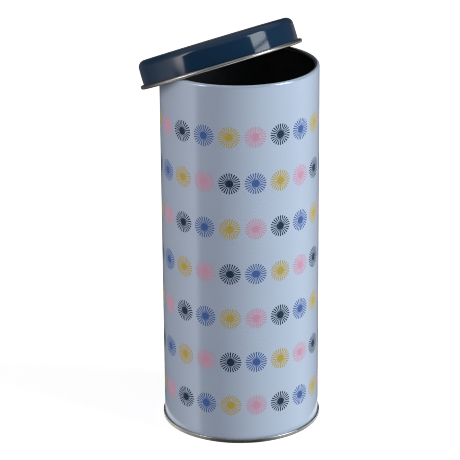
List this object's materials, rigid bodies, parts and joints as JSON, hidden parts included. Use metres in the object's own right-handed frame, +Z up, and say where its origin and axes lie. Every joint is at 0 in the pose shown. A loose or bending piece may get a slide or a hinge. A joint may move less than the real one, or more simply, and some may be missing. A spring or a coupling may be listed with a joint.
{
  "type": "canister tin",
  "caption": "Tall round tinplate canister with a double-seamed base and a drawn slip lid lying askew on its rolled rim.",
  "frame": {"origin": "centre of the ring the tin stands on, at the lowest plane of the base seam", "axes": "+Z up along the tin's axis, +X to the viewer's right, +Y away from the viewer, with the welded side seam at the back, +Y"},
  "size_m": [0.113, 0.1117, 0.2637],
  "materials": {
    "printed_tinplate": "pale blue gloss enamel with small printed bursts outside, bare tinplate inside",
    "bare_tinplate": "bright bare tinplate",
    "sealing_compound": "matt",
    "lid_enamel": "dark navy gloss enamel outside, bare tinplate inside and on the roll"
  },
  "bodies": {
    "tin": {"body_shell": "printed_tinplate", "base_end": "bare_tinplate", "seam_compound": "sealing_compound"},
    "lid": {"slip_lid": "lid_enamel"}
  },
  "joints": [
    {"name": "lid_lift", "type": "slide", "parent": "tin", "child": "lid", "axis": [0, 0, 1], "range_m": [0, 0.08]}
  ]
}
